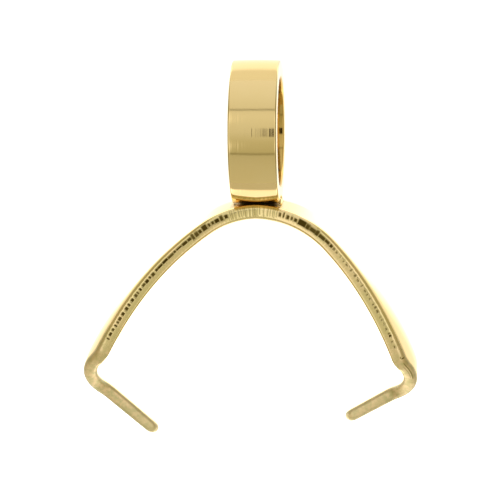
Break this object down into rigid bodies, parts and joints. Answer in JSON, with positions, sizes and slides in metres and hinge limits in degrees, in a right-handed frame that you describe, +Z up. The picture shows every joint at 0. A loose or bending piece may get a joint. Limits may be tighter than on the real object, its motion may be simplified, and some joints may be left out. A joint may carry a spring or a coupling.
{
  "type": "pinch bail finding",
  "caption": "Pinch bail finding: a ring welded on top of a bent metal clip, whose domed leaves end in inward prongs that grip a drilled stone or pendant.",
  "frame": {"origin": "on the surface that the bail lies on, under the middle of its bounding box", "axes": "+Y from the prongs towards the ring, +X along the ring's bore, +Z up from the surface that the bail lies on"},
  "size_m": [0.0142, 0.016, 0.006],
  "materials": {
    "gold_tone_metal": "mirror-polished pale gold-tone plating on stainless steel, with fine rolling marks on the cut edges"
  },
  "bodies": {
    "root": {"bail": "gold_tone_metal"}
  },
  "joints": []
}
